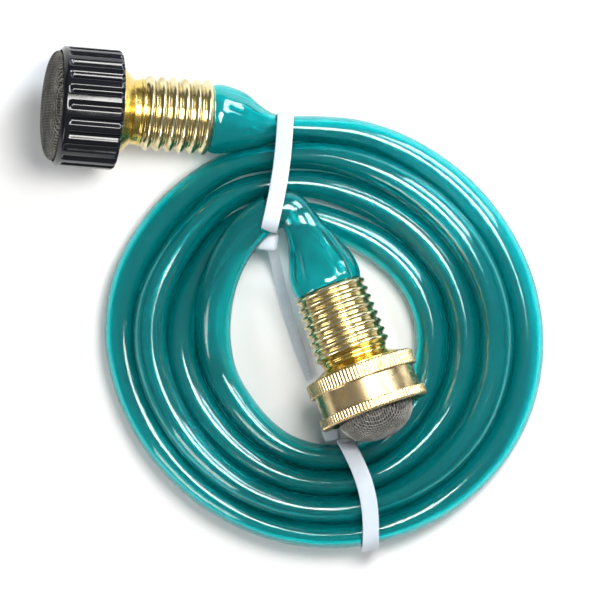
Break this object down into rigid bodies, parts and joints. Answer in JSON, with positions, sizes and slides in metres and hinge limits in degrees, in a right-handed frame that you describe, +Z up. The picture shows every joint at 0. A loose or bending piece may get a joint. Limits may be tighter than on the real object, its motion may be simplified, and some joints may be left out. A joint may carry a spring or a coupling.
{
  "type": "siphon hose",
  "caption": "Short clear green vinyl siphon hose wound into a tied coil, with a crimped swivel coupling and domed mesh strainer on each end.",
  "frame": {"origin": "middle of the object's footprint, on the surface that the coil lies on", "axes": "+Z up, through the flat coil; +X across the coil, away from the black nut; +Y towards the side of the coil where both hose ends leave it"},
  "size_m": [0.1452, 0.1454, 0.0397],
  "materials": {
    "hose": "clear green-blue vinyl, glossy",
    "brass": "bright turned and pressed brass",
    "black_plastic": "moulded black plastic, glossy",
    "washer_rubber": "matt black rubber",
    "steel_mesh": "woven stainless mesh and its pressed rim",
    "white_nylon": "natural white nylon, slightly milky"
  },
  "bodies": {
    "root": {"hose_coil": "hose", "outer_hose_lead": "hose", "inner_hose_lead": "hose", "outer_ferrule": "brass", "inner_ferrule": "brass", "outer_tailpiece": "brass", "inner_tailpiece": "brass", "top_cable_tie": "white_nylon", "bottom_cable_tie": "white_nylon"},
    "black_nut": {"black_nut": "black_plastic", "outer_washer": "washer_rubber", "outer_strainer_rim": "steel_mesh", "outer_strainer_dome": "steel_mesh"},
    "brass_nut": {"brass_nut": "brass", "inner_washer": "washer_rubber", "inner_strainer_rim": "steel_mesh", "inner_strainer_dome": "steel_mesh"}
  },
  "joints": [
    {"name": "black_nut_swivel", "type": "hinge", "parent": "root", "child": "black_nut", "pos_m": [-0.05167, 0.05442, 0.01738], "axis": [-0.9822, 0.0721, 0.1736], "continuous": true},
    {"name": "brass_nut_swivel", "type": "hinge", "parent": "root", "child": "brass_nut", "pos_m": [0.01909, -0.02039, 0.02254], "axis": [0.3467, -0.9321, 0.1045], "continuous": true}
  ]
}
